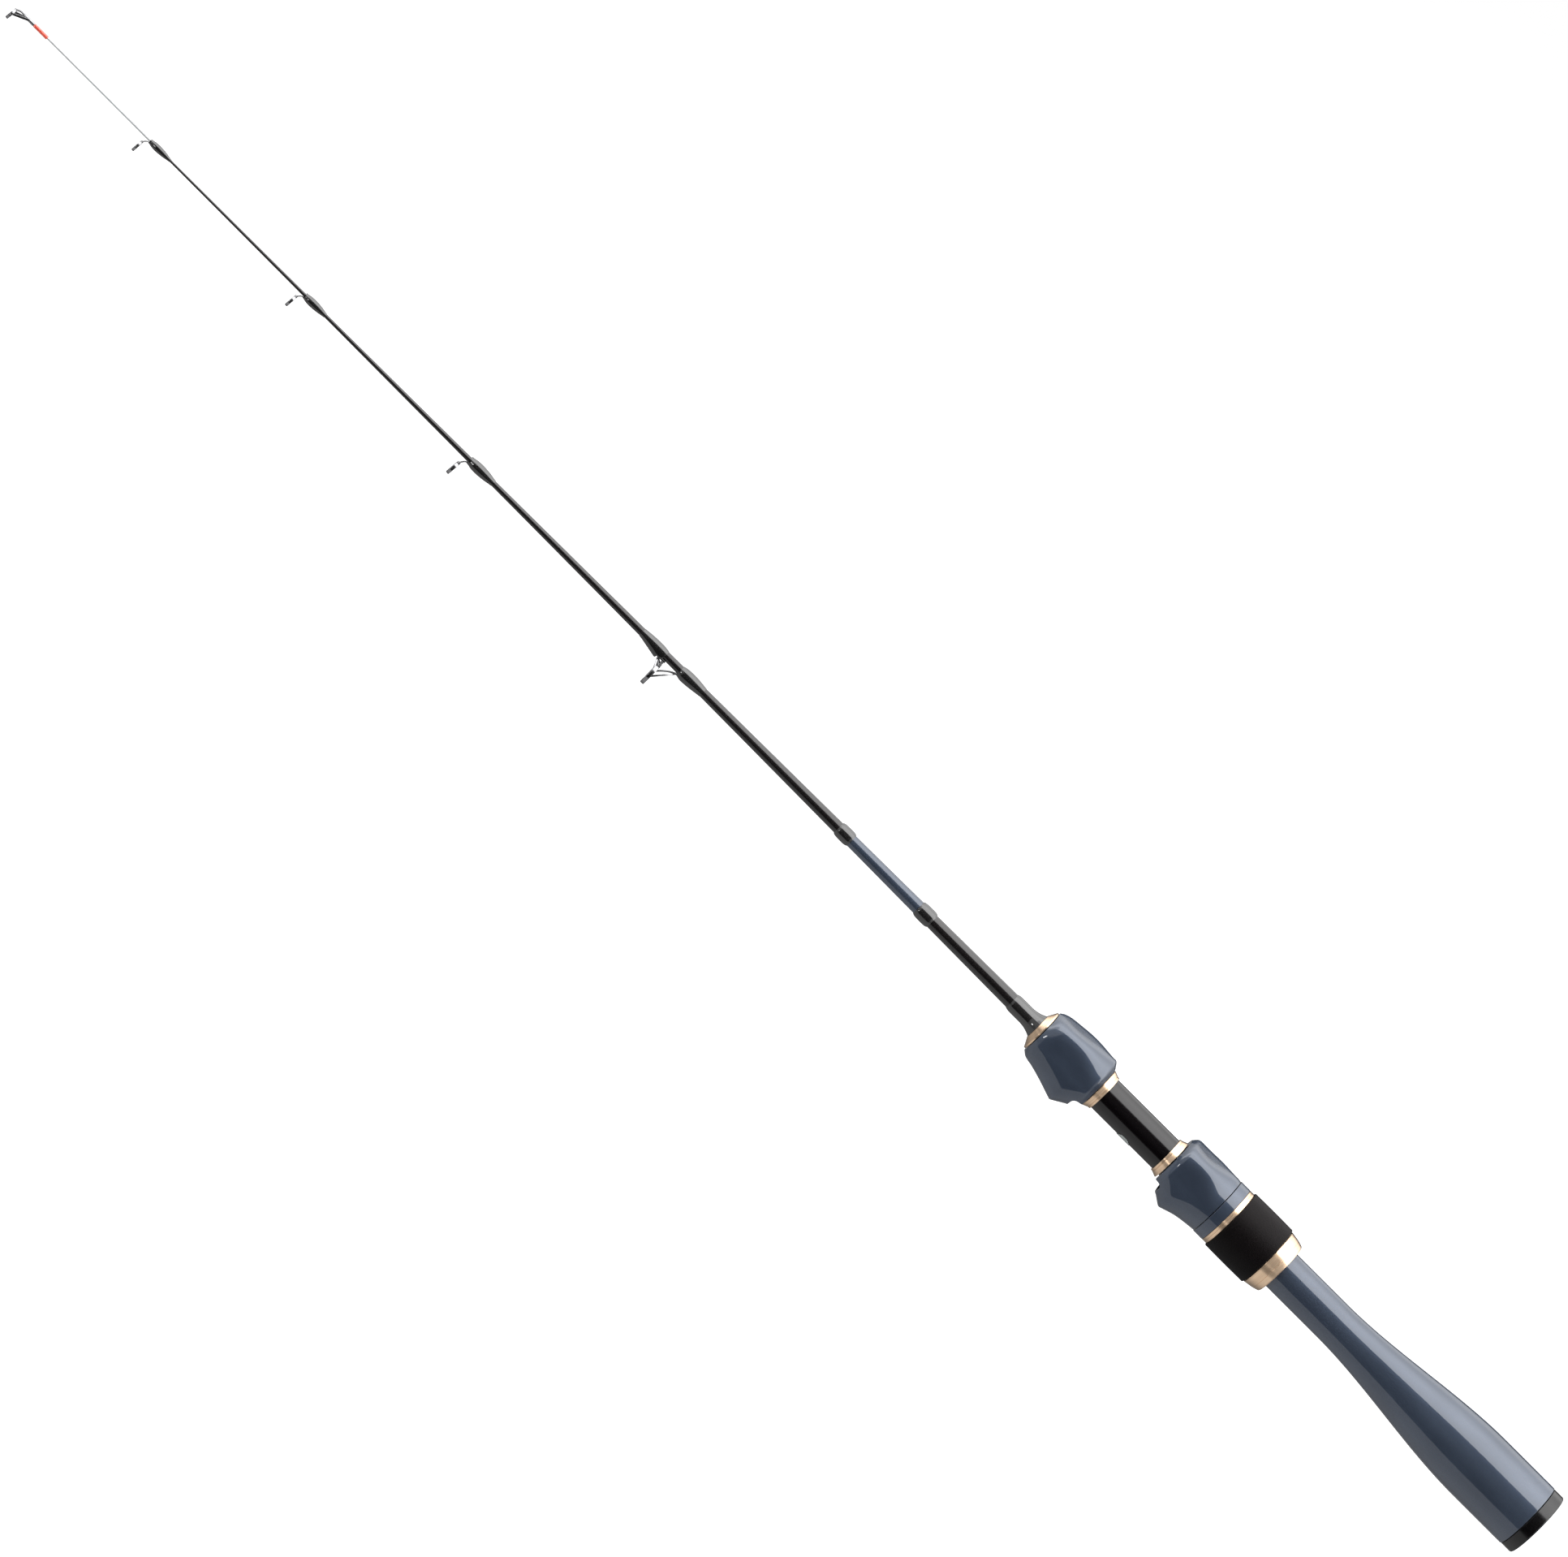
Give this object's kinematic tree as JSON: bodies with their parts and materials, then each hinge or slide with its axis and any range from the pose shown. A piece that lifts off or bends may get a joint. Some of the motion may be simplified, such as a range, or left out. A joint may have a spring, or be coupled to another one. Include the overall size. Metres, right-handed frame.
{
  "type": "fishing rod",
  "caption": "Short fishing rod with line guides, a solid tip, a screw-locking reel seat and a swelling rear grip.",
  "frame": {"origin": "centre of the butt cap's flat end face, on the rod's axis", "axes": "X along the rod's axis with the tip towards -X, the line guides and the reel hang towards -Z, +Z is the rod's spine"},
  "size_m": [0.8219, 0.0294, 0.0308],
  "materials": {
    "slate_gloss": "gloss lacquer",
    "champagne_metal": "turned, anodised",
    "black_resin": "gloss resin over thread",
    "black_satin": "satin",
    "blank_black": "clear-coated fibre",
    "foam": "matte closed-cell foam",
    "steel": "polished",
    "ring_ceramic": "polished",
    "tip_white": "gloss lacquer",
    "marker_red": "gloss lacquer",
    "cap_black": "satin",
    "label_grey": "satin film",
    "arbor_grey": "rough foam"
  },
  "bodies": {
    "rod": {"butt_cap": "cap_black", "rear_grip": "slate_gloss", "end_ring": "champagne_metal", "seat_barrel": "black_satin", "rear_arbor": "arbor_grey", "front_arbor": "arbor_grey", "front_hood": "slate_gloss", "front_cone_ring": "champagne_metal", "front_check": "champagne_metal", "flare_binding": "black_resin", "seat_label": "label_grey", "blank": "blank_black", "solid_tip": "tip_white", "rear_binding": "black_resin", "front_binding": "black_resin", "guide_1_frame": "steel", "guide_1_ring": "ring_ceramic", "guide_1_wrap": "black_resin", "guide_2_frame": "steel", "guide_2_ring": "ring_ceramic", "guide_2_wrap": "black_resin", "guide_3_frame": "steel", "guide_3_ring": "ring_ceramic", "guide_3_wrap": "black_resin", "guide_4_frame": "steel", "guide_4_ring": "ring_ceramic", "guide_4_front_wrap": "black_resin", "guide_4_rear_wrap": "black_resin", "tip_marker": "marker_red", "tip_top_frame": "steel", "tip_top_ring": "ring_ceramic"},
    "moving_hood": {"moving_hood": "slate_gloss", "rear_cone_ring": "champagne_metal"},
    "lock_nut": {"nut_core": "black_satin", "nut_ring": "slate_gloss", "nut_trim_ring": "champagne_metal", "nut_sleeve": "foam"}
  },
  "joints": [
    {"name": "hood_slide", "type": "slide", "parent": "rod", "child": "moving_hood", "axis": [-1, 0, 0], "range_m": [0, 0.0135]},
    {"name": "nut_spin", "type": "hinge", "parent": "moving_hood", "child": "lock_nut", "pos_m": [-0.1735, 0, 0], "axis": [-1, 0, 0], "range_deg": [0, 1620]}
  ],
  "couplings": [
    {"joint": "nut_spin", "follows": "hood_slide", "rad_per_m": 2094.4}
  ]
}
